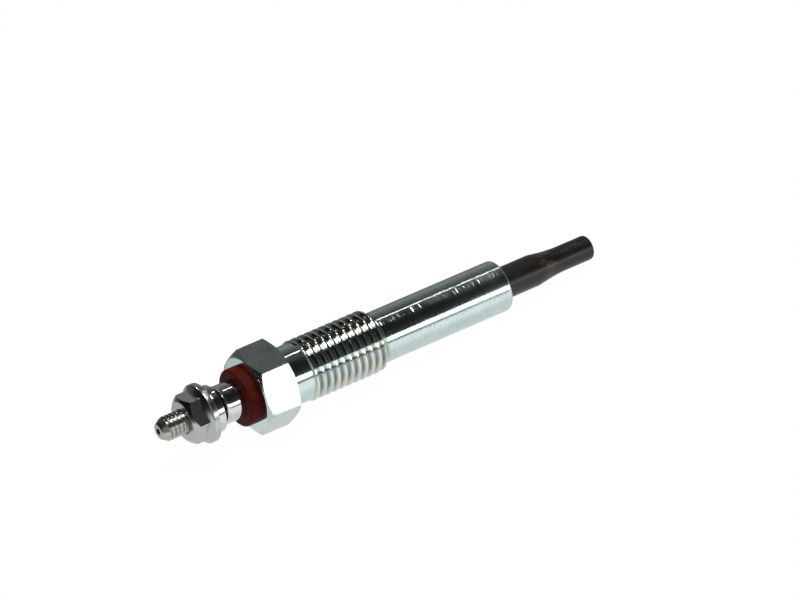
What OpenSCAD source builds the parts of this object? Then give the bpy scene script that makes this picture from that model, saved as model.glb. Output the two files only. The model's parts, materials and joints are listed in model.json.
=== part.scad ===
// Diesel glow plug with a metal glow tube, lying as it comes to rest.
// Every piece is drawn upright about Z: Z = 0 is the terminal face of the hexagon,
// the terminal hangs below it and the glowing tip stands above it.
// lie() then lays the plug down on its hexagon and the rim of its shank.

/* [Hexagon] */
// Width across the flats of the spanner hexagon
hex_af = 12; // [11:0.5:14]
// Length of the hexagon
hex_len = 5.95; // [4:0.05:9]
// Diameter of the flat left on both faces of the hexagon
hex_face_d = 11.6; // [9.6:0.1:11.8]
// Angle of the chamfers round both faces of the hexagon
hex_chamfer_angle = 30; // [15:1:40]

/* [Neck and thread] */
// Diameter of the plain neck under the hexagon
neck_d = 9.3; // [8.8:0.1:9.5]
// Length of the plain neck
neck_len = 3.75; // [2:0.05:8]
// Outer diameter of the M10 thread
thread_d = 9.85; // [9.8:0.05:10]
// Root diameter of the M10 thread
thread_root_d = 8.5; // [8.4:0.05:8.7]
// Pitch of the M10 thread
thread_pitch = 1.25; // [1.1:0.05:1.5]
// Width of the flat at the root of the M10 thread
thread_root_flat = 0.17; // [0.1:0.01:0.25]
// Length of the full thread
thread_len = 12.5; // [8:0.1:20]
// Length of the cone that runs out from the thread to the shank
runout_len = 1; // [0.8:0.1:2]

/* [Shank] */
// Diameter of the plain shank
shank_d = 8.1; // [7.4:0.1:8.4]
// Length of the plain shank
shank_len = 22.95; // [22:0.05:40]
// Radius of the rim at the end of the shank
shank_rim = 0.45; // [0.2:0.05:1.1]

/* [Bores of the housing] */
// Diameter of the bore that holds the bush and its seal
seal_bore_d = 6.6; // [6:0.1:7.4]
// Diameter of the clear bore round the centre rod
rod_bore_d = 5.4; // [5.2:0.1:5.8]

/* [Glow tube] */
// Diameter of the glow tube
tube_d = 5; // [4.8:0.1:5.1]
// Wall of the glow tube
tube_wall = 0.6; // [0.4:0.05:0.7]
// Length of the tube pressed into the shank
press_len = 22; // [20:0.5:24]
// Length of the full diameter outside the shank
tube_out = 6.35; // [3:0.05:12]
// Length of the swaged taper
taper_len = 5; // [3:0.1:8]
// How early the taper does its narrowing: 1 is a plain cone
taper_power = 1.6; // [1:0.1:3]
// Diameter of the swaged tip
tip_d = 3.9; // [3.7:0.05:4.2]
// Length of the swaged tip
tip_len = 5.4; // [3:0.1:9]
// Radius of the edge of the tip
tip_edge = 0.6; // [0.2:0.1:1]
// Thickness of the closed end of the tip
tip_wall = 1; // [0.6:0.1:1.6]

/* [Coils] */
// Mean diameter of the two coils
coil_d = 1.7; // [1.5:0.05:1.8]
// Diameter of the coil wire
wire_d = 0.36; // [0.25:0.01:0.4]
// Length of the control coil
control_len = 10; // [6:0.5:12]
// Pitch of the control coil
control_pitch = 1; // [0.6:0.05:1.5]
// Pitch of the heating coil, which fills the rest of the tube
heating_pitch = 0.7; // [0.5:0.05:1]
// Length of the heating coil's leg, with its bend, to the closed end of the tip
leg_len = 1.5; // [1:0.1:3]

/* [Centre rod] */
// Diameter of the centre rod
rod_d = 4; // [3.8:0.1:4.4]
// Diameter of the rod's tail inside the glow tube
tail_d = 2.6; // [2.3:0.1:2.8]
// Length of the tail before the coil
tail_len = 11.5; // [8:0.5:12]
// Length of the pin that carries the coil
coil_pin_len = 2.2; // [1.5:0.1:3]

/* [Terminal stud] */
// Outer diameter of the M4 stud
stud_d = 3.85; // [3.8:0.05:3.95]
// Diameter at which the stud meets the threads of the nut and the collar
stud_pitch_d = 3.54; // [3.45:0.01:3.56]
// Pitch of the stud's thread
stud_pitch = 0.7; // [0.65:0.05:0.8]
// Root diameter of the stud's thread
stud_root_d = 3.12; // [3.05:0.01:3.2]
// Width of the flat at the root of the stud's thread
stud_root_flat = 0.06; // [0.04:0.01:0.08]
// Length of stud beyond the nut
stud_free = 4.3; // [3:0.05:8]
// Length of the chamfer at the end of the stud
stud_chamfer = 1.2; // [0.4:0.05:1.6]
// Diameter of the flat on the end of the stud
stud_point_d = 2.4; // [1.8:0.1:3]
// Diameter of the centre drilling in the end of the stud
centre_d = 1; // [0.6:0.1:1.4]
// Depth of the centre drilling
centre_depth = 1.2; // [0.5:0.1:2]

/* [Bush and seals] */
// Diameter of the bush's flange
bush_d = 9.2; // [8.4:0.1:9.4]
// Thickness of the bush's flange
bush_h = 1.95; // [1.2:0.05:3]
// Radius of the outer edge of the bush's flange
bush_edge = 0.45; // [0.1:0.05:1]
// Length of the bush inside the housing
bush_spigot = 3; // [2:0.1:5]
// Height of the squeezed rubber ring under the bush
ring_h = 1.5; // [1:0.1:2]
// Corner radius of the squeezed rubber ring
ring_edge = 0.45; // [0.1:0.05:0.48]
// Length of the seal inside the glow tube
seal_len = 2.5; // [1.5:0.1:4]
// Thickness of the seal's lip on the end of the tube
lip_h = 0.5; // [0.3:0.1:1]
// Diameter of the seal's lip
lip_d = 4.6; // [4.2:0.1:4.8]

/* [Collar] */
// Diameter of the collar
collar_d = 6.1; // [5.4:0.1:6.8]
// Length of the collar's plain stretch
collar_plain = 2.35; // [1.5:0.05:4]
// Length of the collar's flare
flare_len = 1.5; // [1:0.1:3]
// Diameter of the collar's flange
flange_d = 7.5; // [7.2:0.1:8.4]
// Thickness of the collar's flange
flange_h = 1.3; // [0.6:0.05:1.8]
// Edge radius of the collar's flange
flange_edge = 0.15; // [0.05:0.01:0.25]
// Diameter of the boss that the nut is run down on
boss_d = 5.4; // [4.6:0.1:6]
// Height of that boss
boss_h = 0.32; // [0.2:0.01:1.2]

/* [Nut] */
// Width across the flats of the nut
nut_af = 7; // [6.5:0.1:7.5]
// Height of the nut
nut_h = 3.9; // [3.2:0.1:5]
// Diameter of the nut's flange
nut_flange_d = 9.4; // [9.2:0.1:10.4]
// Thickness of the rim of the nut's flange
nut_rim_h = 1.1; // [0.6:0.05:1.3]
// Radius of the rim's edge on the side of the hexagon
nut_rim_edge = 0.35; // [0.1:0.05:0.5]
// Slope of the top of the nut's flange
nut_flange_angle = 30; // [20:1:40]
// Diameter of the flat on the outer face of the nut
nut_face_d = 6.2; // [5.6:0.1:6.8]
// Angle of the chamfer round the outer face of the nut
nut_chamfer_angle = 40; // [20:1:45]
// Countersink at the mouths of the nut and the collar
countersink = 0.3; // [0.1:0.05:0.4]
// Turn of the nut about the stud
nut_turn = 43; // [0:1:59]

/* [Hidden] */
$fn = 96;
// overlap of cutters past the faces that they cut
over = 0.5;
// half angle of the V of both threads
flank = 30;
// gap between the wire and what surrounds it
wire_gap = 0.06;
// sides of the wire and steps in each turn of a coil
wire_sides = 6;
coil_steps = 14;
// bend radius of the heating coil's leg and the steps of that bend
leg_bend = 0.5;
bend_step = 15;
// steps of the taper's curve
taper_steps = 12;

hex_corner = hex_af / 2 / cos(30);
hex_rest = hex_len - max(0, hex_af - hex_face_d) / 2 * tan(hex_chamfer_angle);
neck_end = hex_len + neck_len;
thread_end = neck_end + thread_len;
shank_start = thread_end + runout_len;
shank_end = shank_start + shank_len;

seal_bore_depth = bush_spigot + ring_h;
tube_start = shank_end - press_len;
taper_start = shank_end + tube_out;
tip_start = taper_start + taper_len;
tip_end = tip_start + tip_len;
cavity_end = tip_end - tip_wall;

rod_end = tube_start - lip_h;
tail_end = rod_end + lip_h + tail_len;
coil_pin_end = tail_end + coil_pin_len;
powder_start = tube_start + seal_len;

coil_r = coil_d / 2;
wire_r = wire_d / 2;
coil_pin_r = coil_r - wire_r - wire_gap;
pocket_out = coil_r + wire_r + wire_gap;
control_start = tail_end + wire_r + wire_gap;
control_turns = round(control_len / control_pitch);
heating_start = control_start + control_len;
heating_end = cavity_end - leg_len;
heating_turns = round((heating_end - heating_start) / heating_pitch);
pocket_end = heating_end + leg_bend + wire_gap;
leg_angle = leg_bend / coil_r * 180 / PI;
leg_bore_r = wire_r + wire_gap / 2;

collar_start = -bush_h;
flare_start = collar_start - collar_plain;
flange_start = flare_start - flare_len;
boss_start = flange_start - flange_h;
nut_start = boss_start - boss_h;
nut_end = nut_start - nut_h;
stud_end = nut_end - stud_free;
stud_full = stud_end + stud_chamfer;

// what could touch the surface first as the plug tips about the hexagon's edge:
// each is a height along the axis, a distance from it and a rounding
rest_points = [
    [thread_end, thread_d / 2, 0],
    [shank_end - shank_rim, shank_d / 2 - shank_rim, shank_rim],
    [taper_start, tube_d / 2, 0],
    [tip_end - tip_edge, tip_d / 2 - tip_edge, tip_edge],
];
function tip_over(along, drop, rounding) = atan2(drop, along) - asin(rounding / norm([along, drop]));
tilt = min([for (p = rest_points) tip_over(p[0] - hex_rest, hex_af / 2 - p[1], p[2])]);
lift = hex_rest * sin(tilt) + hex_af / 2 * cos(tilt);
x_max = (tip_end - tip_edge) * cos(tilt) + (tip_d / 2 - tip_edge) * sin(tilt) + tip_edge;
x_min = stud_end * cos(tilt) - stud_point_d / 2 * sin(tilt);
x_middle = (x_max + x_min) / 2;

module lie() {
    translate([-x_middle, 0, lift]) rotate([0, 90 + tilt, 0]) children();
}

// half sections, with the radius along X and the height along Y
module band(r0, r1, z0, z1) {
    translate([r0, z0]) square([r1 - r0, z1 - z0]);
}

module soft_band(r0, r1, z0, z1, edge) {
    band(r0 + edge, r1 - edge, z0, z1);
    band(r0, r1, z0 + edge, z1 - edge);
    for (r = [r0 + edge, r1 - edge], z = [z0 + edge, z1 - edge]) translate([r, z]) circle(edge);
}

module soft_top_band(r1, z0, z1, edge) {
    band(0, r1, z0, z1 - edge);
    band(0, r1 - edge, z0, z1);
    translate([r1 - edge, z1 - edge]) circle(edge);
}

module thread_grooves(r, root_r, root_flat, pitch, z0, z1) {
    count = floor((z1 - z0) / pitch);
    first = (z0 + z1 - (count - 1) * pitch) / 2;
    mouth = root_flat / 2 + (r + over - root_r) * tan(flank);
    for (i = [0 : count - 1]) translate([0, first + i * pitch])
        polygon([[root_r, -root_flat / 2], [r + over, -mouth], [r + over, mouth], [root_r, root_flat / 2]]);
}

// six-sided bar with a flat on the X side, and the turning chamfer of one of its ends
module hex_bar(af, z0, z1) {
    translate([0, 0, z0]) linear_extrude(z1 - z0) rotate(30) circle(d = af / cos(30), $fn = 6);
}

module chamfer_envelope(face_d, angle, reach, z0, z1) {
    rise = (reach + over - face_d / 2) * tan(angle);
    rotate_extrude()
        polygon([[0, z0], [face_d / 2, z0], [reach + over, z0 + rise], [reach + over, z1], [0, z1]]);
}

// the mouth of a threaded hole that opens towards the terminal
module countersink_at(z) {
    translate([0, 0, z - over])
        cylinder(r1 = stud_pitch_d / 2 + countersink + over, r2 = stud_pitch_d / 2, h = countersink + over);
}

// outline of the glow tube, drawn in by the wall for its cavity
function ease(s) = 1 - pow(1 - s, taper_power);
function taper_points(inset) = [for (i = [0 : taper_steps]) let (s = i / taper_steps)
    [tube_d / 2 + (tip_d - tube_d) / 2 * ease(s) - inset, taper_start + taper_len * s]];

module tube_outline(inset, z0, z1, edge) {
    polygon(concat([[0, z0], [tube_d / 2 - inset, z0]], taper_points(inset), [[0, tip_start]]));
    soft_top_band(tip_d / 2 - inset, tip_start, z1, edge);
}

module cavity_outline(z0) {
    tube_outline(tube_wall, z0, cavity_end, tip_edge / 2);
}

// a wire wound at one radius: each stop is an angle, a height and the wire's climb
function wound(start, end, turns) = let (steps = turns * coil_steps) [for (i = [0 : steps])
    [360 * i / coil_steps, start + (end - start) * i / steps, 0]];

function wire_ring(stop) = [for (k = [0 : wire_sides - 1]) let (
        a = 360 * k / wire_sides,
        out = coil_r + wire_r * cos(a),
        side = wire_r * sin(a) * sin(stop[2]))
    [out * cos(stop[0]) + side * sin(stop[0]), out * sin(stop[0]) - side * cos(stop[0]),
        stop[1] + wire_r * sin(a) * cos(stop[2])]];

module wire(stops) {
    last = len(stops) - 1;
    sides = [for (i = [0 : last - 1], k = [0 : wire_sides - 1]) let (
            a = i * wire_sides + k,
            b = i * wire_sides + (k + 1) % wire_sides)
        each [[a, b, b + wire_sides], [a, b + wire_sides, a + wire_sides]]];
    near_end = [for (k = [wire_sides - 1 : -1 : 0]) k];
    far_end = [for (k = [0 : wire_sides - 1]) last * wire_sides + k];
    polyhedron([for (stop = stops) each wire_ring(stop)], concat(sides, [near_end, far_end]));
}

module housing() {
    color([0.72, 0.75, 0.75]) lie() difference() {
        union() {
            intersection() {
                hex_bar(hex_af, 0, hex_len);
                chamfer_envelope(hex_face_d, hex_chamfer_angle, hex_corner, 0, hex_len);
                translate([0, 0, hex_len]) rotate([180, 0, 0])
                    chamfer_envelope(hex_face_d, hex_chamfer_angle, hex_corner, 0, hex_len);
            }
            rotate_extrude() difference() {
                union() {
                    band(0, neck_d / 2, hex_len / 2, neck_end);
                    band(0, thread_d / 2, neck_end, thread_end);
                    polygon([[0, thread_end], [thread_d / 2, thread_end],
                        [shank_d / 2, shank_start], [0, shank_start]]);
                    soft_top_band(shank_d / 2, shank_start, shank_end, shank_rim);
                }
                thread_grooves(thread_d / 2, thread_root_d / 2, thread_root_flat, thread_pitch,
                    neck_end, thread_end);
            }
        }
        translate([0, 0, -over]) cylinder(d = seal_bore_d, h = seal_bore_depth + over);
        cylinder(d = rod_bore_d, h = tube_start);
        cylinder(d = tube_d, h = shank_end + over);
    }
}

module glow_tube() {
    color([0.2, 0.17, 0.14]) lie() difference() {
        rotate_extrude() tube_outline(0, tube_start, tip_end, tip_edge);
        rotate_extrude() cavity_outline(tube_start - over);
    }
}

module magnesia_powder() {
    color([0.88, 0.86, 0.8]) lie() difference() {
        rotate_extrude() difference() {
            cavity_outline(powder_start);
            band(0, tail_d / 2, powder_start - over, tail_end);
            band(0, pocket_out, tail_end - over, coil_pin_end);
            band(coil_pin_r, pocket_out, tail_end, pocket_end);
        }
        rotate(leg_angle) translate([coil_r, 0, pocket_end - over])
            cylinder(r = leg_bore_r, h = cavity_end - pocket_end + 2 * over);
    }
}

module heating_coil() {
    bend = [for (b = [bend_step : bend_step : 90])
        [leg_angle * sin(b), heating_end + leg_bend * (1 - cos(b)), b]];
    color([0.5, 0.42, 0.3]) lie()
        wire(concat(wound(heating_start, heating_end, heating_turns), bend, [[leg_angle, cavity_end, 90]]));
}

module control_coil() {
    color([0.62, 0.6, 0.55]) lie() wire(wound(control_start, heating_start, control_turns));
}

module centre_rod() {
    color([0.5, 0.52, 0.51]) lie() difference() {
        rotate_extrude() difference() {
            union() {
                polygon([[0, stud_end], [stud_point_d / 2, stud_end],
                    [stud_d / 2, stud_full], [0, stud_full]]);
                band(0, stud_d / 2, stud_full, nut_end);
                band(0, stud_pitch_d / 2, nut_end, collar_start);
                band(0, rod_d / 2, collar_start, rod_end);
                band(0, tail_d / 2, rod_end, tail_end);
                band(0, coil_pin_r, tail_end, coil_pin_end);
            }
            thread_grooves(stud_d / 2, stud_root_d / 2, stud_root_flat, stud_pitch, stud_full, nut_end);
        }
        translate([0, 0, stud_end - over]) cylinder(d = centre_d, h = centre_depth + over);
    }
}

module tube_seal() {
    color([0.13, 0.13, 0.14]) lie() rotate_extrude() {
        band(tail_d / 2, lip_d / 2, rod_end, tube_start);
        band(tail_d / 2, tube_d / 2 - tube_wall, rod_end, powder_start);
    }
}

module o_ring() {
    color([0.1, 0.1, 0.1]) lie() rotate_extrude()
        soft_band(rod_d / 2, seal_bore_d / 2, bush_spigot, seal_bore_depth, ring_edge);
}

module insulator_bush() {
    color([0.42, 0.13, 0.09]) lie() difference() {
        rotate_extrude() {
            band(0, bush_d / 2, bush_edge - bush_h, 0);
            band(0, bush_d / 2 - bush_edge, -bush_h, 0);
            translate([bush_d / 2 - bush_edge, bush_edge - bush_h]) circle(bush_edge);
            band(0, seal_bore_d / 2, -bush_h, bush_spigot);
        }
        translate([0, 0, -bush_h - over]) cylinder(d = rod_d, h = bush_h + bush_spigot + 2 * over);
    }
}

module terminal_collar() {
    rim_r = flange_d / 2 - flange_edge;
    rise = rim_r - collar_d / 2;
    flare_r = (pow(flare_len, 2) + pow(rise, 2)) / (2 * rise);
    color([0.75, 0.78, 0.78]) lie() difference() {
        rotate_extrude() {
            polygon([[0, nut_start], [boss_d / 2, nut_start], [boss_d / 2, boss_start], [rim_r, boss_start],
                [flange_d / 2, boss_start + flange_edge], [flange_d / 2, flange_start - flange_edge],
                [rim_r, flange_start], [0, flange_start]]);
            for (z = [boss_start + flange_edge, flange_start - flange_edge])
                translate([rim_r, z]) circle(flange_edge);
            band(0, collar_d / 2, boss_start, collar_start);
            difference() {
                band(0, rim_r, boss_start, flare_start);
                translate([collar_d / 2 + flare_r, flare_start]) circle(flare_r);
            }
        }
        translate([0, 0, nut_start - over])
            cylinder(d = stud_pitch_d, h = collar_start - nut_start + 2 * over);
        countersink_at(nut_start);
    }
}

module terminal_nut() {
    rim = [nut_flange_d / 2 - nut_rim_edge, nut_start - nut_rim_h + nut_rim_edge];
    shoulder = rim + nut_rim_edge * [sin(nut_flange_angle), -cos(nut_flange_angle)];
    apex = [0, shoulder[1] - shoulder[0] * tan(nut_flange_angle)];
    color([0.58, 0.59, 0.58]) lie() difference() {
        union() {
            intersection() {
                rotate(nut_turn) hex_bar(nut_af, nut_end, nut_start);
                chamfer_envelope(nut_face_d, nut_chamfer_angle, nut_af / 2 / cos(30), nut_end, nut_start);
            }
            rotate_extrude() {
                polygon([[0, nut_start], [nut_flange_d / 2, nut_start],
                    [nut_flange_d / 2, rim[1]], shoulder, apex]);
                translate(rim) circle(nut_rim_edge);
            }
        }
        translate([0, 0, nut_end - over]) cylinder(d = stud_pitch_d, h = nut_h + 2 * over);
        countersink_at(nut_end);
    }
}

housing();
glow_tube();
magnesia_powder();
heating_coil();
control_coil();
centre_rod();
tube_seal();
o_ring();
insulator_bush();
terminal_collar();
terminal_nut();
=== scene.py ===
import json
import math

import bpy
from mathutils import Matrix, Vector


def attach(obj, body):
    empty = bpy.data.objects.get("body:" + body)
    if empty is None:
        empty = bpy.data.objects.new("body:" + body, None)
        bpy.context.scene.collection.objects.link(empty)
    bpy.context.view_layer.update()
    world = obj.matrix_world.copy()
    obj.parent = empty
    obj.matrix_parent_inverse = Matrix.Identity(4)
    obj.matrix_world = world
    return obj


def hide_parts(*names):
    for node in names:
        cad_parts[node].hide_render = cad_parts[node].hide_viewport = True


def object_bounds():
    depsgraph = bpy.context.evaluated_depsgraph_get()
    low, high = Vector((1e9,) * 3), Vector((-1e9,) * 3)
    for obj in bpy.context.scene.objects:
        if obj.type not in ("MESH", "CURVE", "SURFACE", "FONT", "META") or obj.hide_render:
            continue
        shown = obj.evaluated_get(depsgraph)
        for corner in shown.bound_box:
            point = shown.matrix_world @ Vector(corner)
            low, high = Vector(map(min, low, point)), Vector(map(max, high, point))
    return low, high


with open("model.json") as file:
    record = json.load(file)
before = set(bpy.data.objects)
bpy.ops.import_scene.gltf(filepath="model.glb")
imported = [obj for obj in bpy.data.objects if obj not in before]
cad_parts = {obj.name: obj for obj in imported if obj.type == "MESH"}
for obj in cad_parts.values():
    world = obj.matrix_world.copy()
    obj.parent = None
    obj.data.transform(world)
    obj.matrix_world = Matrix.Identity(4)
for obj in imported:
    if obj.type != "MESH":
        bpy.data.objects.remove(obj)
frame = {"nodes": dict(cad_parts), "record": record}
cadLow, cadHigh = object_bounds()
print("frame loaded:", ", ".join(sorted(frame["nodes"])))

mm = 0.001  # pieces are modelled upright in millimetres, then laid down in metres
mounts = {mount["name"]: mount for mount in frame["record"]["mounts"]}
headThread = mounts["head_thread"]
terminalStud = mounts["terminal_stud"]

# lengths of the plug's stretches, from the hexagon first to the tip and then to the terminal
lengths = {
    "hexagon": 5.95,
    "neck": 3.75,
    "thread": headThread["dims"]["length_mm"],
    "runOut": 1.0,
    "shank": 22.95,
    "pressedTube": 22.0,    # of the glow tube, inside the shank
    "plainTube": 6.35,
    "taper": 5.0,
    "tip": 5.4,
    "bush": 1.95,
    "collar": 2.35,
    "flare": 1.5,
    "flange": 1.3,
    "boss": 0.32,
    "nut": 3.9,
    "stud": 4.3,
}

# heights along the plug, from the terminal side of the hexagon towards the tip
heights = {"hexEnd": lengths["hexagon"]}
heights["threadStart"] = heights["hexEnd"] + lengths["neck"]
heights["threadEnd"] = heights["threadStart"] + lengths["thread"]
heights["shankStart"] = heights["threadEnd"] + lengths["runOut"]
heights["shankEnd"] = heights["shankStart"] + lengths["shank"]
heights["tubeStart"] = heights["shankEnd"] - lengths["pressedTube"]
heights["taperStart"] = heights["shankEnd"] + lengths["plainTube"]
heights["tipStart"] = heights["taperStart"] + lengths["taper"]
heights["tipEnd"] = heights["tipStart"] + lengths["tip"]
heights["collarStart"] = -lengths["bush"]
heights["flareStart"] = heights["collarStart"] - lengths["collar"]
heights["flangeStart"] = heights["flareStart"] - lengths["flare"]
heights["bossStart"] = heights["flangeStart"] - lengths["flange"]
heights["nutStart"] = heights["bossStart"] - lengths["boss"]
heights["nutEnd"] = heights["nutStart"] - lengths["nut"]
heights["studEnd"] = heights["nutEnd"] - lengths["stud"]

# the way the plug lies, from its own thread
alongPlug = Vector(headThread["axis"]).normalized()
sidePlug = Vector((0, 1, 0))
downPlug = sidePlug.cross(alongPlug)
threadMiddle = (heights["threadStart"] + heights["threadEnd"]) / 2
plugOrigin = Vector(headThread["pos_m"]) - alongPlug * threadMiddle * mm
layTurn = Matrix((downPlug, sidePlug, alongPlug)).transposed()
layMatrix = Matrix.Translation(plugOrigin) @ layTurn.to_4x4() @ Matrix.Scale(mm, 4)
fullTurn = 2 * math.pi
over = 0.5  # how far a cutting tool reaches past what it cuts


def selectOnly(piece):
    bpy.ops.object.select_all(action="DESELECT")
    piece.select_set(True)
    bpy.context.view_layer.objects.active = piece


def editAll(piece):
    selectOnly(piece)
    bpy.ops.object.mode_set(mode="EDIT")
    bpy.ops.mesh.select_all(action="SELECT")


def softCorners(corners, arcSteps=5):
    # corners are radius, height and rounding, and a rounding of 0 leaves one sharp
    points = []
    for index, (radius, height, rounding) in enumerate(corners):
        corner = Vector((radius, height))
        if not rounding:
            points.append(corner)
            continue
        before = (Vector(corners[index - 1][:2]) - corner).normalized()
        after = (Vector(corners[(index + 1) % len(corners)][:2]) - corner).normalized()
        half = before.angle(after) / 2
        centre = corner + (before + after).normalized() * rounding / math.sin(half)
        first = corner + before * rounding / math.tan(half) - centre
        last = corner + after * rounding / math.tan(half) - centre
        sweep = first.angle_signed(last)
        for step in range(arcSteps + 1):
            turn = Matrix.Rotation(-sweep * step / arcSteps, 2)
            points.append(centre + turn @ first)
    return points


def drawOutline(name, points):
    # one point, drawn out along the half section
    bpy.ops.object.select_all(action="DESELECT")
    bpy.ops.mesh.primitive_plane_add(size=1)
    piece = bpy.context.object
    piece.name = name
    piece.data.name = name
    editAll(piece)
    bpy.ops.mesh.merge(type="CENTER")
    bpy.ops.mesh.select_all(action="SELECT")
    bpy.ops.transform.translate(value=(points[0].x, 0, points[0].y))
    for here, there in zip(points, points[1:]):
        step = there - here
        bpy.ops.mesh.extrude_region_move(TRANSFORM_OT_translate={"value": (step.x, 0, step.y)})
    bpy.ops.object.mode_set(mode="OBJECT")
    return piece


def closeSeams(piece):
    editAll(piece)
    bpy.ops.mesh.remove_doubles(threshold=0.0005)
    bpy.ops.mesh.normals_make_consistent(inside=False)
    bpy.ops.object.mode_set(mode="OBJECT")


def turnPiece(name, points, turnSteps=128):
    # a half section spun about the plug's axis
    piece = drawOutline(name, points)
    editAll(piece)
    bpy.ops.mesh.spin(steps=turnSteps, angle=fullTurn, center=(0, 0, 0), axis=(0, 0, 1))
    bpy.ops.object.mode_set(mode="OBJECT")
    closeSeams(piece)
    return piece


def screwPiece(name, profile, pitch, low, high, phase, turnSteps=96):
    # one pitch of the profile wound upwards, then cut square at both ends
    piece = drawOutline(name, profile)
    spareTurns = 2
    firstTurn = math.floor(low / pitch) - spareTurns
    editAll(piece)
    bpy.ops.transform.translate(value=(0, 0, (firstTurn + phase) * pitch))
    bpy.ops.object.mode_set(mode="OBJECT")
    winding = piece.modifiers.new("winding", "SCREW")
    winding.axis = "Z"
    winding.angle = fullTurn
    winding.screw_offset = pitch
    winding.iterations = math.ceil((high - low) / pitch) + 2 * spareTurns
    winding.steps = turnSteps
    winding.render_steps = turnSteps
    bpy.ops.object.modifier_apply(modifier=winding.name)
    closeSeams(piece)
    editAll(piece)
    bpy.ops.mesh.bisect(plane_co=(0, 0, low), plane_no=(0, 0, -1), use_fill=True, clear_outer=True)
    bpy.ops.mesh.select_all(action="SELECT")
    bpy.ops.mesh.bisect(plane_co=(0, 0, high), plane_no=(0, 0, 1), use_fill=True, clear_outer=True)
    bpy.ops.object.mode_set(mode="OBJECT")
    closeSeams(piece)
    return piece


def threadProfile(crest, root, rootFlat, pitch, crestRound, rootRound):
    # from one crest to the next, with flanks at 60 degrees to each other
    lean = math.tan(math.radians(30))
    crestHalf = (pitch - rootFlat) / 2 - (crest - root) * lean
    crestFlat = (crestHalf - crestRound * lean) * 0.92   # a point here keeps the crest's shading flat
    rootHalf = rootFlat / 2
    return softCorners([
        (crest, 0, 0),
        (crest, crestFlat, 0),
        (crest, crestHalf, crestRound),
        (root, pitch / 2 - rootHalf, rootRound),
        (root, pitch / 2 + rootHalf, rootRound),
        (crest, pitch - crestHalf, crestRound),
        (crest, pitch - crestFlat, 0),
        (crest, pitch, 0)])


def hexBar(name, across, low, high, edgeRound, turn=0):
    # six-sided bar with its long edges softened
    bpy.ops.object.select_all(action="DESELECT")
    bpy.ops.mesh.primitive_cylinder_add(
        vertices=6, radius=across / 2 / math.cos(math.pi / 6), depth=high - low,
        location=(0, 0, (low + high) / 2), rotation=(0, 0, math.radians(turn)))
    piece = bpy.context.object
    piece.name = name
    piece.data.name = name
    bpy.ops.object.transform_apply(location=True, rotation=True, scale=True)
    bpy.ops.object.mode_set(mode="EDIT")
    bpy.ops.mesh.select_mode(type="EDGE")
    bpy.ops.mesh.select_all(action="DESELECT")
    bpy.ops.object.mode_set(mode="OBJECT")
    for edge in piece.data.edges:
        first, last = (piece.data.vertices[index].co for index in edge.vertices)
        edge.select = abs(last.z - first.z) > (high - low) / 2
    bpy.ops.object.mode_set(mode="EDIT")
    bpy.ops.mesh.bevel(offset=edgeRound, offset_type="OFFSET", segments=4, affect="EDGES")
    bpy.ops.mesh.select_mode(type="VERT")
    bpy.ops.object.mode_set(mode="OBJECT")
    return piece


def combine(piece, tool, operation):
    # the tool is joined on, cut away or used to trim, and is then gone
    selectOnly(piece)
    boolean = piece.modifiers.new(operation.lower(), "BOOLEAN")
    boolean.operation = operation
    boolean.solver = "EXACT"
    boolean.object = tool
    bpy.ops.object.modifier_apply(modifier=boolean.name)
    bpy.data.objects.remove(tool)


def layPiece(piece, nodeName, material, edgeAngle=24):
    selectOnly(piece)
    piece.matrix_world = layMatrix
    bpy.ops.object.transform_apply(location=True, rotation=True, scale=True)
    bpy.ops.object.shade_smooth_by_angle(angle=math.radians(edgeAngle))
    piece.data.materials.clear()
    piece.data.materials.append(material)
    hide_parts(nodeName)
    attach(piece, "root")
    print("made", piece.name, "with", len(piece.data.polygons), "faces")


# finishes
def startFinish(name):
    # a new material, with the plug's own upright millimetres as its coordinates
    material = bpy.data.materials.new(name)
    material.use_nodes = True
    shader = material.node_tree.nodes["Principled BSDF"]
    coords = addNode(material, "ShaderNodeTexCoord")
    place = addNode(material, "ShaderNodeMapping", vector_type="TEXTURE")
    place.inputs["Location"].default_value = plugOrigin
    place.inputs["Rotation"].default_value = layTurn.to_euler()
    place.inputs["Scale"].default_value = (mm, mm, mm)
    join(material, coords.outputs["Object"], place.inputs["Vector"])
    return material, shader, place.outputs["Vector"]


def addNode(material, kind, **settings):
    node = material.node_tree.nodes.new(kind)
    for name, value in settings.items():
        setattr(node, name, value)
    return node


def join(material, output, socket):
    material.node_tree.links.new(output, socket)


def addNoise(material, vector, scale, detail, roughness=0.5):
    noise = addNode(material, "ShaderNodeTexNoise")
    noise.inputs["Scale"].default_value = scale
    noise.inputs["Detail"].default_value = detail
    noise.inputs["Roughness"].default_value = roughness
    join(material, vector, noise.inputs["Vector"])
    return noise.outputs["Fac"]


def addStretch(material, vector, stretch):
    # the coordinates stretched, so that a noise turns into streaks or rings
    mapping = addNode(material, "ShaderNodeMapping")
    mapping.inputs["Scale"].default_value = stretch
    join(material, vector, mapping.inputs["Vector"])
    return mapping.outputs["Vector"]


def addRange(material, value, fromLow, fromHigh, toLow, toHigh):
    remap = addNode(material, "ShaderNodeMapRange", clamp=True)
    numbers = (fromLow, fromHigh, toLow, toHigh)
    for name, number in zip(("From Min", "From Max", "To Min", "To Max"), numbers):
        remap.inputs[name].default_value = number
    join(material, value, remap.inputs["Value"])
    return remap.outputs["Result"]


def feed(material, value, socket):
    # a colour or a number is set on the socket, and an output is linked to it
    if isinstance(value, tuple):
        socket.default_value = (*value, 1)
    elif isinstance(value, (int, float)):
        socket.default_value = value
    else:
        join(material, value, socket)


def addMath(material, operation, first, second):
    node = addNode(material, "ShaderNodeMath", operation=operation)
    for socket, value in zip(node.inputs, (first, second)):
        feed(material, value, socket)
    return node.outputs["Value"]


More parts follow.
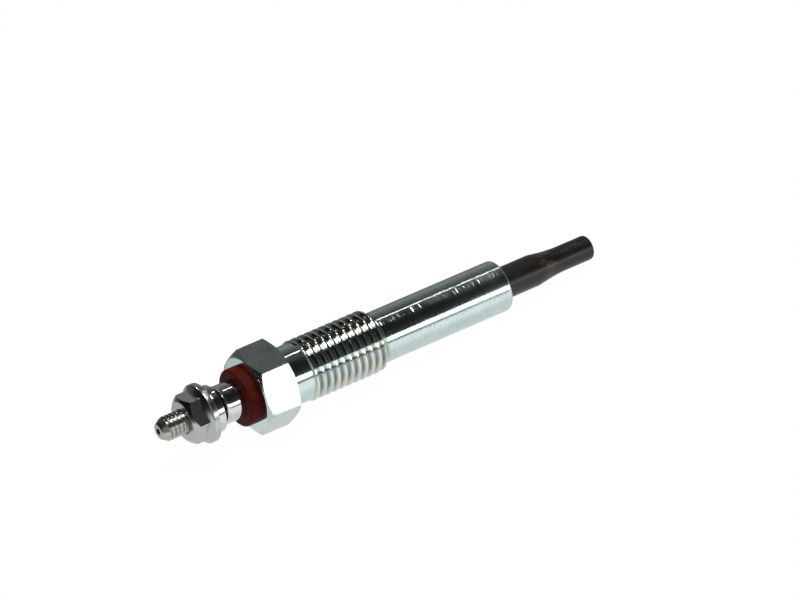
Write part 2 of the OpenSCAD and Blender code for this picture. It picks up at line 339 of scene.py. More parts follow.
def addMix(material, share, first, second):
    node = addNode(material, "ShaderNodeMix", data_type="RGBA")
    feed(material, share, node.inputs["Factor"])
    colours = [socket for socket in node.inputs if socket.type == "RGBA"]
    for socket, value in zip(colours, (first, second)):
        feed(material, value, socket)
    return next(socket for socket in node.outputs if socket.type == "RGBA")


def blendNumbers(material, share, first, second):
    node = addNode(material, "ShaderNodeMix", data_type="FLOAT")
    numbers = [socket for socket in node.inputs if socket.type == "VALUE"]
    for socket, value in zip(numbers, (share, first, second)):
        feed(material, value, socket)
    return next(socket for socket in node.outputs if socket.type == "VALUE")


def mixShaders(material, share, first, second):
    node = addNode(material, "ShaderNodeMixShader")
    for socket, output in zip(node.inputs, (share, first, second)):
        join(material, output, socket)
    return node.outputs["Shader"]


def addBump(material, height, depth, below=None):
    bump = addNode(material, "ShaderNodeBump")
    bump.inputs["Strength"].default_value = 1
    bump.inputs["Distance"].default_value = depth * mm
    join(material, height, bump.inputs["Height"])
    if below:
        join(material, below, bump.inputs["Normal"])
    return bump.outputs["Normal"]


def alongAxis(material, vector):
    split = addNode(material, "ShaderNodeSeparateXYZ")
    join(material, vector, split.inputs["Vector"])
    return split.outputs["Z"]


def between(material, place, low, high, soft):
    # 1 between two places, fading over the soft length
    rise = addRange(material, place, low - soft, low + soft, 0, 1)
    fall = addRange(material, place, high - soft, high + soft, 1, 0)
    return addMath(material, "MULTIPLY", rise, fall)


noiseSpan = (0.3, 0.7)  # where nearly all of a noise lies

zincLook = {
    "colour": (0.61, 0.76, 0.76),
    "paleColour": (0.70, 0.80, 0.78),
    # painted shade: the thread's flanks and roots get this darker colour, as the shade that falls in its
    # grooves
    "flankColour": (0.43, 0.445, 0.425),
    "dullColour": (0.52, 0.58, 0.58),
    "yellowTint": (0.85, 0.80, 0.56),
    "blueTint": (0.58, 0.70, 0.80),
    "tint": 0.50,                # how strongly the thread takes the tints
    "grooveFade": (4.45, 4.88),  # radii between which the painted shade in the grooves fades into the crests' colour
    "roughness": (0.06, 0.13),
    "hexSatin": 0.08,            # added roughness on the hexagon
    "shankSatin": 0.08,          # and at the shank's end
    "ringDepth": 0.057,
    "grainDepth": 0.018,
    "waveDepth": 0.006,
}


def makeZinc():
    look = zincLook
    material, shader, place = startFinish("zincPlate")
    height = alongAxis(material, place)
    clouds = addNoise(material, place, scale=0.45, detail=5, roughness=0.6)
    flecks = addNoise(material, place, scale=2.2, detail=4, roughness=0.65)
    ringPlace = addStretch(material, place, (0.03, 0.03, 1))
    rings = addNoise(material, ringPlace, scale=2.4, detail=2, roughness=0.55)
    grain = addNoise(material, place, scale=3.4, detail=4, roughness=0.7)
    wavePlace = addStretch(material, place, (1, 1, 0.55))
    waves = addNoise(material, wavePlace, scale=0.9, detail=2)
    onHex = between(material, height, 0.1, heights["hexEnd"] + 0.1, 0.02)   # not its face at the bush
    onThread = between(material, height, heights["threadStart"], heights["shankStart"], 0.5)
    onShank = addRange(material, height, heights["threadEnd"], heights["shankStart"] + 0.5, 0, 1)
    plain = addMix(material, addRange(material, clouds, 0.38, 0.62, 0, 1),
                   look["colour"], look["paleColour"])
    worn = addMath(material, "MULTIPLY", onShank, addRange(material, flecks, 0.5, 0.72, 0, 0.6))
    rubbed = addMath(material, "MULTIPLY", onHex, addRange(material, grain, 0.38, 0.62, 0, 0.8))
    dulled = addMix(material, addMath(material, "MAXIMUM", worn, rubbed), plain, look["dullColour"])
    tintSpots = addNoise(material, place, scale=0.33, detail=2)
    tint = addMix(material, addRange(material, tintSpots, 0.42, 0.56, 0, 1),
                  look["blueTint"], look["yellowTint"])
    tinted = addMix(material, addMath(material, "MULTIPLY", onThread, look["tint"]), dulled, tint)
    spread = addNode(material, "ShaderNodeVectorMath", operation="LENGTH")
    join(material, addStretch(material, place, (1, 1, 0)), spread.inputs[0])
    # painted shade in the thread's grooves: darker from the crests down to the roots
    grooveShade = addMath(material, "MULTIPLY", onThread,
                       addRange(material, spread.outputs["Value"], *look["grooveFade"], 1, 0))
    join(material, addMix(material, grooveShade, tinted, look["flankColour"]), shader.inputs["Base Color"])
    mottle = addMath(material, "ADD", addMath(material, "MULTIPLY", flecks, 0.5),
                     addMath(material, "MULTIPLY", clouds, 0.5))
    rough = addRange(material, mottle, 0.35, 0.65, *look["roughness"])
    hexSatin = addMath(material, "MULTIPLY", onHex, look["hexSatin"])
    shankSatin = addRange(material, height, heights["shankStart"] + 3, heights["shankEnd"] - 2,
                          0, look["shankSatin"])
    join(material, addMath(material, "ADD", rough, addMath(material, "ADD", hexSatin, shankSatin)),
         shader.inputs["Roughness"])
    shader.inputs["Metallic"].default_value = 1
    offThread = addRange(material, onThread, 0, 1, 1, 0)
    wavy = addBump(material, addMath(material, "MULTIPLY", waves, offThread), look["waveDepth"])
    turned = addBump(material, addMath(material, "MULTIPLY", rings, onShank), look["ringDepth"], wavy)
    grainy = addMath(material, "MULTIPLY", grain, addRange(material, onHex, 0, 1, 0.08, 1))
    join(material, addBump(material, grainy, look["grainDepth"], turned), shader.inputs["Normal"])
    return material


nickelLook = {
    "colour": (0.66, 0.72, 0.74),
    "warmShade": (1.06, 0.99, 0.92),    # what the warmer clouds do to the colour
    "roughness": (0.05, 0.13),
    "ringDepth": 0.0006,
}


def makeNickel():
    look = nickelLook
    material, shader, place = startFinish("brightNickel")
    clouds = addNoise(material, place, scale=0.9, detail=4, roughness=0.6)
    ringPlace = addStretch(material, place, (0.02, 0.02, 1))
    rings = addNoise(material, ringPlace, scale=7, detail=4, roughness=0.6)
    warm = tuple(part * shade for part, shade in zip(look["colour"], look["warmShade"]))
    join(material, addMix(material, addRange(material, clouds, 0.4, 0.65, 0, 1),
                          look["colour"], warm), shader.inputs["Base Color"])
    join(material, addRange(material, clouds, *noiseSpan, *look["roughness"]), shader.inputs["Roughness"])
    shader.inputs["Metallic"].default_value = 1
    join(material, addBump(material, rings, look["ringDepth"]), shader.inputs["Normal"])
    return material


heaterLook = {
    "colour": (0.009, 0.0085, 0.0075),
    "brownColour": (0.016, 0.0145, 0.011),
    "bronzeColour": (0.17, 0.08, 0.038),
    "roughness": (0.26, 0.38),
    "grainDepth": 0.0015,
}


def makeHeater():
    look = heaterLook
    material, shader, place = startFinish("oxidisedSheath")
    height = alongAxis(material, place)
    cloudPlace = addStretch(material, place, (1, 1, 0.5))
    clouds = addNoise(material, cloudPlace, scale=0.8, detail=5, roughness=0.62)
    streakPlace = addStretch(material, place, (1, 1, 0.12))
    streaks = addNoise(material, streakPlace, scale=3.5, detail=4, roughness=0.6)
    grain = addNoise(material, place, scale=7, detail=5, roughness=0.7)
    atTaper = between(material, height, heights["taperStart"] + 0.4, heights["tipStart"] - 1.6, 1.1)
    brown = addMix(material, addRange(material, clouds, 0.35, 0.68, 0, 1),
                   look["colour"], look["brownColour"])
    temper = addMath(material, "MULTIPLY", atTaper, addRange(material, clouds, 0.5, 0.68, 0, 0.55))
    join(material, addMix(material, temper, brown, look["bronzeColour"]), shader.inputs["Base Color"])
    join(material, addRange(material, streaks, *noiseSpan, *look["roughness"]), shader.inputs["Roughness"])
    join(material, addBump(material, grain, look["grainDepth"]), shader.inputs["Normal"])
    return material


# two colours in clouds, under a fine grain
mottledLooks = {
    "nutSteel": {
        "colours": ((0.53, 0.58, 0.55), (0.56, 0.54, 0.50)), "metal": 1, "gloss": 0.5,
        "cloudScale": 0.7, "cloudFade": (0.42, 0.64), "roughness": (0.17, 0.28), "roughBy": "grain",
        "grainScale": 6, "grainHarsh": 0.7, "grainDepth": 0.0015},
    "rodSteel": {
        "colours": ((0.53, 0.555, 0.50), (0.41, 0.42, 0.39)), "metal": 1, "gloss": 0.5,
        "cloudScale": 1.1, "cloudFade": (0.4, 0.65), "roughness": (0.16, 0.30), "roughBy": "clouds",
        "grainScale": 8, "grainHarsh": 0.7, "grainDepth": 0.0025},
    "redBushPlastic": {
        "colours": ((0.118, 0.0125, 0.0068), (0.066, 0.0068, 0.0042)), "metal": 0, "gloss": 0.05,
        "cloudScale": 0.8, "cloudFade": (0.38, 0.66), "roughness": (0.38, 0.54), "roughBy": "grain",
        "grainScale": 6, "grainHarsh": 0.65, "grainDepth": 0.004},
    "pressedPowder": {
        "colours": ((0.72, 0.69, 0.62), (0.60, 0.57, 0.50)), "metal": 0, "gloss": 0.5,
        "cloudScale": 1.2, "cloudFade": (0.35, 0.65), "roughness": (0.75, 0.95), "roughBy": "grain",
        "grainScale": 9, "grainHarsh": 0.7, "grainDepth": 0.02},
    "coilWire": {
        "colours": ((0.42, 0.38, 0.32), (0.28, 0.22, 0.17)), "metal": 1, "gloss": 0.5,
        "cloudScale": 1.2, "cloudFade": (0.35, 0.65), "roughness": (0.25, 0.42), "roughBy": "grain",
        "grainScale": 7, "grainHarsh": 0.7, "grainDepth": 0.003},
    "sealRubber": {
        "colours": ((0.018, 0.018, 0.020), (0.010, 0.010, 0.011)), "metal": 0, "gloss": 0.5,
        "cloudScale": 1.2, "cloudFade": (0.35, 0.65), "roughness": (0.55, 0.75), "roughBy": "grain",
        "grainScale": 6, "grainHarsh": 0.7, "grainDepth": 0.008},
}


def makeMottled(name):
    look = mottledLooks[name]
    material, shader, place = startFinish(name)
    clouds = addNoise(material, place, scale=look["cloudScale"], detail=4, roughness=0.6)
    grain = addNoise(material, place, scale=look["grainScale"], detail=4, roughness=look["grainHarsh"])
    colour = addMix(material, addRange(material, clouds, *look["cloudFade"], 0, 1), *look["colours"])
    join(material, colour, shader.inputs["Base Color"])
    uneven = {"clouds": clouds, "grain": grain}[look["roughBy"]]
    join(material, addRange(material, uneven, *noiseSpan, *look["roughness"]), shader.inputs["Roughness"])
    shader.inputs["Metallic"].default_value = look["metal"]
    shader.inputs["Specular IOR Level"].default_value = look["gloss"]
    join(material, addBump(material, grain, look["grainDepth"]), shader.inputs["Normal"])
    return material


# housing: hexagon, neck, thread and shank in one piece, with its stepped bore
housing = {
    "hexAcross": 12.0,
    "hexFace": 11.6,        # diameter of the flat that the chamfers leave on both faces
    "hexChamfer": 30,       # degrees
    "hexEdge": 0.045,
    "faceEdge": 0.05,
    "neckRadius": 4.65,
    "neckFade": (0.3, 0.7),    # the neck sinks to the core from before to past the thread's start
    "threadPitch": 1.25,
    "threadRoot": 4.25,
    "threadRootFlat": 0.17,
    "crestRound": 0.06,
    "rootRound": 0.13,
    "threadPhase": 0.215,   # share of a turn that sets where the crests come
    "threadPast": (1.3, 0.2),   # wound from before its start to past the shank's start, then trimmed
    "runIn": (0.75, 0.05),  # the first turn rises out of the neck between these, before the thread's start
    "runInSunk": 0.12,
    "runOut": (0.1, 0.05),  # the last turn sinks from before the thread's end to past the shank's start
    "runOutSunk": 0.05,
    "crestClear": 0.1,      # room for the crests between the two
    "coreSunk": 0.1,        # how deep the barrel lies under the thread's root
    "barrelStart": 1.0,     # inside the hexagon
    "shankRise": 0.3,       # length over which the barrel widens to the shank
    "support": 0.5,         # points this far from a bend keep the shading flat beside it
    "shankRadius": 4.05,
    "shankRim": 0.45,
    "sealBore": 3.3,
    "sealBoreDepth": 4.5,
    "rodBore": 2.7,
    "tubeBore": 2.5,
}


def makeHousing(material):
    size = housing
    crest = headThread["dims"]["r_mm"]
    root = size["threadRoot"]
    hexEnd = heights["hexEnd"]
    hexFace = size["hexFace"] / 2
    reach = size["hexAcross"] * 0.65    # outside the hexagon's corners
    chamferRise = (reach - hexFace) * math.tan(math.radians(size["hexChamfer"]))
    piece = hexBar("plugHousing", size["hexAcross"], -over, hexEnd + over, size["hexEdge"])
    envelope = turnPiece("hexChamfers", softCorners([
        (0, 0, 0),
        (hexFace, 0, size["faceEdge"]),
        (reach, chamferRise, 0),
        (reach, hexEnd - chamferRise, 0),
        (hexFace, hexEnd, size["faceEdge"]),
        (0, hexEnd, 0)]))
    combine(piece, envelope, "INTERSECT")

    core = root - size["coreSunk"]
    neck, shank = size["neckRadius"], size["shankRadius"]
    start, end = heights["threadStart"], heights["threadEnd"]
    neckEnd, coreStart = start - size["neckFade"][0], start + size["neckFade"][1]
    barrel = turnPiece("barrel", softCorners([
        (0, size["barrelStart"], 0),
        (core, size["barrelStart"], 0),
        (core, hexEnd / 2, 0),
        (neck, hexEnd / 2, 0),
        (neck, neckEnd - size["support"], 0),
        (neck, neckEnd, 0),
        (core, coreStart, 0),
        (core, end, 0),
        (shank, end + size["shankRise"], 0),
        (shank, heights["shankStart"] + size["support"], 0),
        (shank, heights["shankEnd"] - 2 * size["shankRim"], 0),
        (shank, heights["shankEnd"], size["shankRim"]),
        (0, heights["shankEnd"], 0)], 8))
    profile = threadProfile(crest, root, size["threadRootFlat"], size["threadPitch"],
                            size["crestRound"], size["rootRound"])
    thread = screwPiece("thread", profile, size["threadPitch"], start - size["threadPast"][0],
                        heights["shankStart"] + size["threadPast"][1], size["threadPhase"])
    riseStart, riseEnd = (start - before for before in size["runIn"])
    sinkStart, sinkEnd = end - size["runOut"][0], heights["shankStart"] + size["runOut"][1]
    runOut = turnPiece("runOut", softCorners([
        (0, riseStart, 0),
        (neck - size["runInSunk"], riseStart, 0),
        (crest + size["crestClear"], riseEnd, 0),
        (crest + size["crestClear"], sinkStart, 0),
        (shank - size["runOutSunk"], sinkEnd, 0),
        (0, sinkEnd, 0)]))
    combine(thread, runOut, "INTERSECT")
    combine(barrel, thread, "UNION")
    combine(piece, barrel, "UNION")

    bore = turnPiece("bore", softCorners([
        (0, -over, 0),
        (size["sealBore"], -over, 0),
        (size["sealBore"], size["sealBoreDepth"], 0),
        (size["rodBore"], size["sealBoreDepth"], 0),
        (size["rodBore"], heights["tubeStart"], 0),
        (size["tubeBore"], heights["tubeStart"], 0),
        (size["tubeBore"], heights["shankEnd"] + over, 0),
        (0, heights["shankEnd"] + over, 0)]), 96)
    combine(piece, bore, "DIFFERENCE")
    layPiece(piece, "housing", material)


# glow tube: a closed sheath, swaged down to its tip
sheath = {
    "radius": 2.5,
    "wall": 0.6,
    "tipRadius": 1.95,
    "tipRound": 0.6,
    "tipWall": 1.0,
    "taperPower": 1.6,
    "taperSteps": 24,
}


def makeSheath(material):
    size = sheath
    tipEnd = heights["tipEnd"]
    length = heights["tipStart"] - heights["taperStart"]

    def taper(inset):
        points = []
        for step in range(size["taperSteps"] + 1):
            share = step / size["taperSteps"]
            left = (1 - share) ** size["taperPower"]
            radius = size["tipRadius"] + (size["radius"] - size["tipRadius"]) * left
            points.append(Vector((radius - inset, heights["taperStart"] + length * share)))
        return points

    outside = [Vector((size["radius"], heights["tubeStart"]))] + taper(0)
    tip = softCorners([
        (size["tipRadius"], heights["tipStart"], 0),
        (size["tipRadius"], tipEnd, size["tipRound"]),
        (0, tipEnd, 0)], 10)
    inside = [Vector((0, tipEnd - size["tipWall"])),
              Vector((size["tipRadius"] - size["wall"], tipEnd - size["tipWall"]))]
    inside += list(reversed(taper(size["wall"])))
    inside.append(Vector((size["radius"] - size["wall"], heights["tubeStart"])))
    piece = turnPiece("glowSheath", outside + tip[1:] + inside + outside[:1])
    layPiece(piece, "glow_tube", material)


# centre rod: its threaded end is the terminal stud
rod = {
    "radius": 2.0,
    "hiddenStudRadius": 1.77,
    "studPitch": 0.7,
    "studRoot": 1.56,
    "studRootFlat": 0.06,
    "crestRound": 0.05,
    "rootRound": 0.05,
    "studPhase": 0.3,
    "crestClear": 0.2,      # room for the crests outside the nut
    "trim": 0.02,           # keeps the trimmed faces from lying in each other
    "studInNut": 0.4,       # how far it reaches into the nut
    "studGap": 0.05,        # length over which it sinks to the plain stud, before the nut
    "plainInNut": 0.2,      # where the plain stud begins, inside the nut
    "pointRadius": 1.2,
    "pointLength": 1.2,
    "pointEdge": 0.5,
    "pointClear": 0.8,      # length behind the point over which the trimming clears the crests
    "centreRadius": 0.5,
    "centreDepth": 1.2,
    "rodBack": 0.5,
    "tailRadius": 1.3,
    "tailLength": 12.0,
    "pinRadius": 0.61,
    "pinLength": 2.2,
}


def makeRod(material):
    size = rod
    crest = terminalStud["dims"]["r_mm"]
    end = heights["studEnd"]
    nutEnd = heights["nutEnd"]
    inNut = nutEnd + size["studInNut"]
    plain = size["hiddenStudRadius"]
    inside, outside = plain - size["trim"], crest + size["crestClear"]
    rodEnd = heights["tubeStart"] - size["rodBack"]
    tailEnd = rodEnd + size["tailLength"]
    pinEnd = tailEnd + size["pinLength"]
    profile = threadProfile(crest, size["studRoot"], size["studRootFlat"], size["studPitch"],
                            size["crestRound"], size["rootRound"])
    stud = screwPiece("stud", profile, size["studPitch"], end, inNut, size["studPhase"], 72)
    pointed = turnPiece("studPoint", softCorners([
        (0, end, 0),
        (size["pointRadius"], end, size["pointEdge"]),
        (crest + size["trim"], end + size["pointLength"], 0),
        (outside, end + size["pointLength"] + size["pointClear"], 0),
        (outside, nutEnd - size["studGap"], 0),
        (inside, nutEnd, 0),
        (inside, inNut + over, 0),
        (0, inNut + over, 0)], 6), 72)
    combine(stud, pointed, "INTERSECT")
    piece = turnPiece("centreRodSteel", softCorners([
        (0, nutEnd + size["plainInNut"], 0),
        (plain, nutEnd + size["plainInNut"], 0),
        (plain, heights["collarStart"], 0),
        (size["radius"], heights["collarStart"], 0),
        (size["radius"], rodEnd, 0),
        (size["tailRadius"], rodEnd, 0),
        (size["tailRadius"], tailEnd, 0),
        (size["pinRadius"], tailEnd, 0),
        (size["pinRadius"], pinEnd, 0),
        (0, pinEnd, 0)]), 72)
    combine(piece, stud, "UNION")
    centre = turnPiece("centreDrilling", softCorners([
        (0, end - over, 0),
        (size["centreRadius"], end - over, 0),
        (size["centreRadius"], end + size["centreDepth"], 0),
        (0, end + size["centreDepth"], 0)]), 32)
    combine(piece, centre, "DIFFERENCE")
    layPiece(piece, "centre_rod", material)


# insulating bush: a disc on a spigot, soft at its outer edge
bush = {
    "radius": 4.6,
    "edge": 0.45,
    "spigotRadius": 3.3,
    "spigotEnd": 3.0,
    "bore": 2.0,
}


def makeBush(material):
    size = bush
    low = heights["collarStart"]
    corners = [
        (size["bore"], low, 0),
        (size["radius"], low, size["edge"]),
        (size["radius"], 0, 0),
        (size["spigotRadius"], 0, 0),
        (size["spigotRadius"], size["spigotEnd"], 0),
        (size["bore"], size["spigotEnd"], 0),
        (size["bore"], low, 0)]
    piece = turnPiece("redBush", softCorners(corners, 7))
    layPiece(piece, "insulator_bush", material)


# terminal collar: plain at the bush, flared to a flange under the nut
collar = {
    "radius": 3.05,
    "flangeRadius": 3.75,
    "flangeEdge": 0.15,
    "flareEdge": 0.1395,    # just under the flange's edge, so that it ends before the flare
    "bossRadius": 2.7,
    "bossFoot": 0.08,
    "bossEdge": 0.05,
    "bore": 1.77,
    "countersink": 0.3,
    "footEdge": 0.12,
    "flareSteps": 12,
}


def makeCollar(material):
    size = collar
    flange = size["flangeRadius"]
    run = heights["flareStart"] - heights["flangeStart"]
    rise = flange - size["flangeEdge"] - size["radius"]
    flareRadius = (run ** 2 + rise ** 2) / (2 * rise)
    flare = []
    for step in range(size["flareSteps"] + 1):
        drop = run * step / size["flareSteps"]
        radius = size["radius"] + flareRadius - math.sqrt(flareRadius ** 2 - drop ** 2)
        flare.append((radius, heights["flareStart"] - drop, 0))
    corners = [
        (size["bore"], heights["collarStart"], 0),
        (size["radius"], heights["collarStart"], size["footEdge"]),
        *flare,
        (flange, heights["flangeStart"], size["flareEdge"]),
        (flange, heights["bossStart"], size["flangeEdge"]),
        (size["bossRadius"], heights["bossStart"], size["bossFoot"]),
        (size["bossRadius"], heights["nutStart"], size["bossEdge"]),
        (size["bore"] + size["countersink"], heights["nutStart"], 0),
        (size["bore"], heights["nutStart"] + size["countersink"], 0),
        (size["bore"], heights["collarStart"], 0)]
    piece = turnPiece("brightCollar", softCorners(corners, 6))
    layPiece(piece, "terminal_collar", material)


# flanged nut
nut = {
    "across": 7.0,
    "turn": 43,             # degrees, as the angles below
    "hexEdge": 0.06,
    "hexSunk": 0.1,         # how far the six-sided bar stops short in the flange
    "face": 6.2,
    "chamfer": 40,
    "faceEdge": 0.08,
    "flangeRadius": 4.7,
    "rimHeight": 1.1,
    "rimEdge": 0.35,
    "bearingEdge": 0.1,
    "rimSteps": 8,
    "flangeAngle": 30,
    "flangeInner": 2.8,     # radius inside the bar where the flange's slope ends
    "bore": 1.77,
    "countersink": 0.3,
}


def makeNut(material):
    size = nut
    low, high = heights["nutEnd"], heights["nutStart"]
    wide = size["across"]
    face = size["face"] / 2
    rise = math.tan(math.radians(size["chamfer"]))
    piece = hexBar("flangeNut", wide, low, high - size["hexSunk"], size["hexEdge"], size["turn"])
    envelope = turnPiece("nutChamfer", softCorners([
        (0, low, 0),
        (face, low, size["faceEdge"]),
        (wide, low + (wide - face) * rise, 0),
        (wide, high + over, 0),
        (0, high + over, 0)]))
    combine(piece, envelope, "INTERSECT")
    slope = math.radians(size["flangeAngle"])
    outer, edge, bearing = size["flangeRadius"], size["rimEdge"], size["bearingEdge"]
    arcs = [
        (Vector((outer - bearing, high - bearing)), bearing, math.pi / 2, 0),
        (Vector((outer - edge, high - size["rimHeight"] + edge)), edge, 0, slope - math.pi / 2)]
    outline = [Vector((0, high))]
    for centre, radius, first, last in arcs:
        for step in range(size["rimSteps"] + 1):
            turn = first + (last - first) * step / size["rimSteps"]
            outline.append(centre + Vector((math.cos(turn), math.sin(turn))) * radius)
    inner = size["flangeInner"]
    outline.append(Vector((inner, outline[-1].y - (outline[-1].x - inner) * math.tan(slope))))
    outline.append(Vector((0, outline[-1].y)))
    flange = turnPiece("nutFlange", outline)
    combine(piece, flange, "UNION")
    hole = turnPiece("nutHole", softCorners([
        (0, low - over, 0),
        (size["bore"] + size["countersink"] + over, low - over, 0),
        (size["bore"], low + size["countersink"], 0),
        (size["bore"], high + over, 0),
        (0, high + over, 0)]), 72)
    combine(piece, hole, "DIFFERENCE")
    layPiece(piece, "terminal_nut", material)


makeHousing(makeZinc())
makeSheath(makeHeater())
makeRod(makeMottled("rodSteel"))
makeBush(makeMottled("redBushPlastic"))
makeCollar(makeNickel())
makeNut(makeMottled("nutSteel"))

# the pieces sealed inside keep their shapes and get their finishes
innerFinishes = {
    "pressedPowder": ["magnesia_powder"],
    "coilWire": ["heating_coil", "control_coil"],
    "sealRubber": ["tube_seal", "o_ring"],
}
for finish, nodeNames in innerFinishes.items():
    innerMaterial = makeMottled(finish)
    for nodeName in nodeNames:
        nodeData = frame["nodes"][nodeName].data
        nodeData.materials.clear()
        nodeData.materials.append(innerMaterial)
    print("finished inside:", ", ".join(nodeNames))


# camera at the photograph's angle
view = {
    "azimuth": -32.7,
    "elevation": 40.77,
    "roll": -2.66,
    "distance": 1.2,
    "frameWidth": 0.12074,   # width of the picture at the plug, in metres
    "aimAlong": 0.00744,     # from the middle of the thread
    "aimDrop": 0.00049,
    "aimRight": 0.00376,
    "aimUp": 0.0059,
}

# studio: a white table in a dim room, under a large lamp, with a low softbox and two small lamps
studio = {
    "tableSize": 6.0,
    "tableColour": (0.9, 0.9, 0.9),
    "tableWhite": 0.99,     # share of plain white that the camera sees, the rest keeps the shadow
    # painted light: to shiny metal the table is a glow, not lit by the lamps, with a painted shadow of the
    # plug close to it
    "mirrorFront": 1.0,     # how white the table is to shiny metal: in front of the plug,
    "mirrorNear": 0.76,     # close to it,
    "mirrorBehind": 0.20,   # behind it,
    "mirrorEnd": 0.60,      # behind its terminal
    "mirrorFar": 0.10,      # and far off past the terminal
    "nearAcross": (-0.018, -0.008),     # metres on the table between which these change, across the plug
    "pastAcross": (0, 0.010),
    "endAcross": (0.018, 0.030),
    "endAlong": (-0.060, -0.024),       # and along it
    "endSoft": 0.004,
    "behindAlong": (-0.05, 0),
    "farAlong": (-0.150, -0.100),
    "roomLevels": ((0, 0.30), (0.3, 0.20), (0.75, 0.05)),   # from the horizon up
    "darkTowards": (150, 0),
    "darkFade": (0.3, 0.75),
    "darkSide": 0.03,       # the room is this much of the rest there
    "dimTowards": (-38, 48),
    "dimFade": (0.72, 0.9),
    "dimSide": 0.28,        # and this much above the softbox
    "fillFade": (0.86, 0.97),
    "fillGlow": 0.22,       # the room is brighter by this behind the camera
}
lamps = {
    "topLamp": {
        "azimuth": 42, "elevation": 80, "distance": 0.85, "size": (0.32, 0.32), "power": 4.4},
    "frontSoftbox": {
        "azimuth": -61, "elevation": 16.5, "distance": 0.6, "size": (0.6, 0.16), "power": 0.68},
    "streakLamp": {
        "azimuth": 42, "elevation": 50, "distance": 0.8, "size": (0.08, 0.022), "power": 0.06},
    "backLamp": {
        "azimuth": 94, "elevation": 39, "distance": 0.8, "size": (0.04, 0.04), "power": 0.6},
}


def towards(azimuth, elevation):
    turn, rise = math.radians(azimuth), math.radians(elevation)
    return Vector((math.cos(turn) * math.cos(rise), math.sin(turn) * math.cos(rise), math.sin(rise)))


towardsCamera = towards(view["azimuth"] - 90, view["elevation"])   # its azimuth counts from the front


def makeTable():
    bpy.ops.object.select_all(action="DESELECT")
    bpy.ops.mesh.primitive_plane_add(size=studio["tableSize"], location=(0, 0, cadLow.z))
    table = bpy.context.object
    table.name = "whiteTable"
    material = bpy.data.materials.new("whiteTable")
    material.use_nodes = True
    material.node_tree.nodes.clear()
    ends = addNode(material, "ShaderNodeOutputMaterial")
    rays = addNode(material, "ShaderNodeLightPath")
    matt = addNode(material, "ShaderNodeBsdfDiffuse")
    matt.inputs["Color"].default_value = (*studio["tableColour"], 1)
    coords = addNode(material, "ShaderNodeTexCoord")
    split = addNode(material, "ShaderNodeSeparateXYZ")
    join(material, coords.outputs["Object"], split.inputs["Vector"])
    along, across = split.outputs["X"], split.outputs["Y"]
    # painted reflection: the table glows to shiny metal, full in front of the plug, dimmer close to it as
    # its painted shadow, and at set levels behind it, behind its terminal and far past it
    front = addRange(material, across, *studio["nearAcross"], studio["mirrorFront"], studio["mirrorNear"])
    farOff = addRange(material, along, *studio["farAlong"], 1, 0)
    frontFar = blendNumbers(material, farOff, front, studio["mirrorFar"])
    byTerminal = addMath(material, "MULTIPLY",
                         between(material, along, *studio["endAlong"], studio["endSoft"]),
                         addRange(material, across, *studio["endAcross"], 1, 0))
    fading = addRange(material, along, *studio["behindAlong"], studio["mirrorFar"], studio["mirrorBehind"])
    behind = blendNumbers(material, byTerminal, fading, studio["mirrorEnd"])
    pastPlug = addRange(material, across, *studio["pastAcross"], 0, 1)
    paintedTableGlow = blendNumbers(material, pastPlug, frontFar, behind)
    paintedGlowShader = addNode(material, "ShaderNodeEmission")
    join(material, paintedTableGlow, paintedGlowShader.inputs["Strength"])
    shiny = addMath(material, "MAXIMUM", rays.outputs["Is Glossy Ray"], rays.outputs["Is Transmission Ray"])
    toMetal = mixShaders(material, shiny, matt.outputs["BSDF"], paintedGlowShader.outputs["Emission"])
    white = addNode(material, "ShaderNodeEmission")
    seen = addMath(material, "MULTIPLY", rays.outputs["Is Camera Ray"], studio["tableWhite"])
    join(material, mixShaders(material, seen, toMetal, white.outputs["Emission"]), ends.inputs["Surface"])
    table.data.materials.append(material)


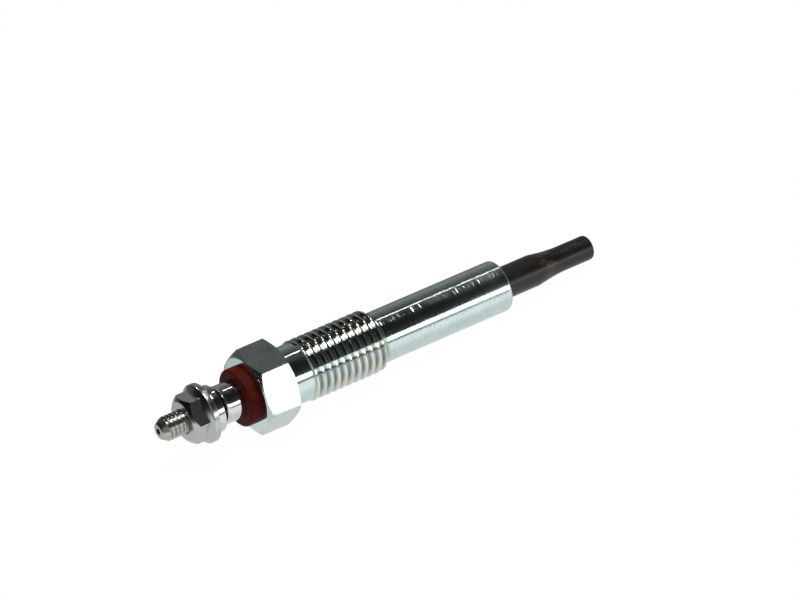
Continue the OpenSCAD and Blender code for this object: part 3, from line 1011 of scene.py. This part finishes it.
def makeRoom():
    world = bpy.data.worlds.new("dimRoom")
    world.use_nodes = True
    bpy.context.scene.world = world
    background = world.node_tree.nodes["Background"]
    coords = addNode(world, "ShaderNodeTexCoord")
    direction = coords.outputs["Generated"]

    def facing(way):
        node = addNode(world, "ShaderNodeVectorMath", operation="DOT_PRODUCT")
        join(world, direction, node.inputs[0])
        node.inputs[1].default_value = way
        return node.outputs["Value"]

    ramp = addNode(world, "ShaderNodeValToRGB")
    ramp.color_ramp.elements.new(0.5)
    for element, (position, level) in zip(ramp.color_ramp.elements, studio["roomLevels"]):
        element.position = position
        element.color = (level, level, level, 1)
    join(world, alongAxis(world, direction), ramp.inputs["Fac"])
    dark = facing(towards(*studio["darkTowards"]))
    side = addRange(world, dark, *studio["darkFade"], 1, studio["darkSide"])
    above = facing(towards(*studio["dimTowards"]))
    dim = addRange(world, above, *studio["dimFade"], 1, studio["dimSide"])
    fill = addRange(world, facing(towardsCamera), *studio["fillFade"], 0, studio["fillGlow"])
    shaded = addMath(world, "MULTIPLY", addMath(world, "MULTIPLY", ramp.outputs["Color"], side), dim)
    level = addMath(world, "ADD", shaded, fill)
    background.inputs["Color"].default_value = (1, 1, 1, 1)
    join(world, level, background.inputs["Strength"])


def makeLamp(name, lamp):
    away = towards(lamp["azimuth"], lamp["elevation"])
    bpy.ops.object.light_add(type="AREA", location=away * lamp["distance"])
    light = bpy.context.object
    light.name = name
    light.rotation_mode = "QUATERNION"
    across = (alongPlug - away * alongPlug.dot(away)).normalized()   # its long side runs with the plug
    turn = Matrix((across, away.cross(across), away)).transposed()
    light.rotation_quaternion = turn.to_quaternion()
    light.data.shape = "RECTANGLE"
    light.data.size, light.data.size_y = lamp["size"]
    light.data.energy = lamp["power"]
    light.visible_camera = False


makeTable()
makeRoom()
for lampName, lampValues in lamps.items():
    makeLamp(lampName, lampValues)
print("studio lit with", ", ".join(lamps))


def makeCamera():
    turn = math.radians(view["azimuth"])
    level = Vector((math.cos(turn), math.sin(turn), 0))
    upright = towardsCamera.cross(level)
    roll = math.radians(view["roll"])
    right = level * math.cos(roll) + upright * math.sin(roll)
    up = towardsCamera.cross(right)
    middle = Vector(headThread["pos_m"]) + Vector((view["aimAlong"], 0, -view["aimDrop"]))
    aim = middle + right * view["aimRight"] + up * view["aimUp"]
    bpy.ops.object.camera_add(location=aim + towardsCamera * view["distance"])
    camera = bpy.context.object
    camera.rotation_mode = "QUATERNION"
    camera.rotation_quaternion = Matrix((right, up, towardsCamera)).transposed().to_quaternion()
    camera.data.sensor_width = 36
    camera.data.lens = camera.data.sensor_width * view["distance"] / view["frameWidth"]
    camera.data.clip_start = 0.01
    bpy.context.scene.camera = camera


makeCamera()
bpy.context.scene.view_settings.view_transform = "Standard"
print("camera set")
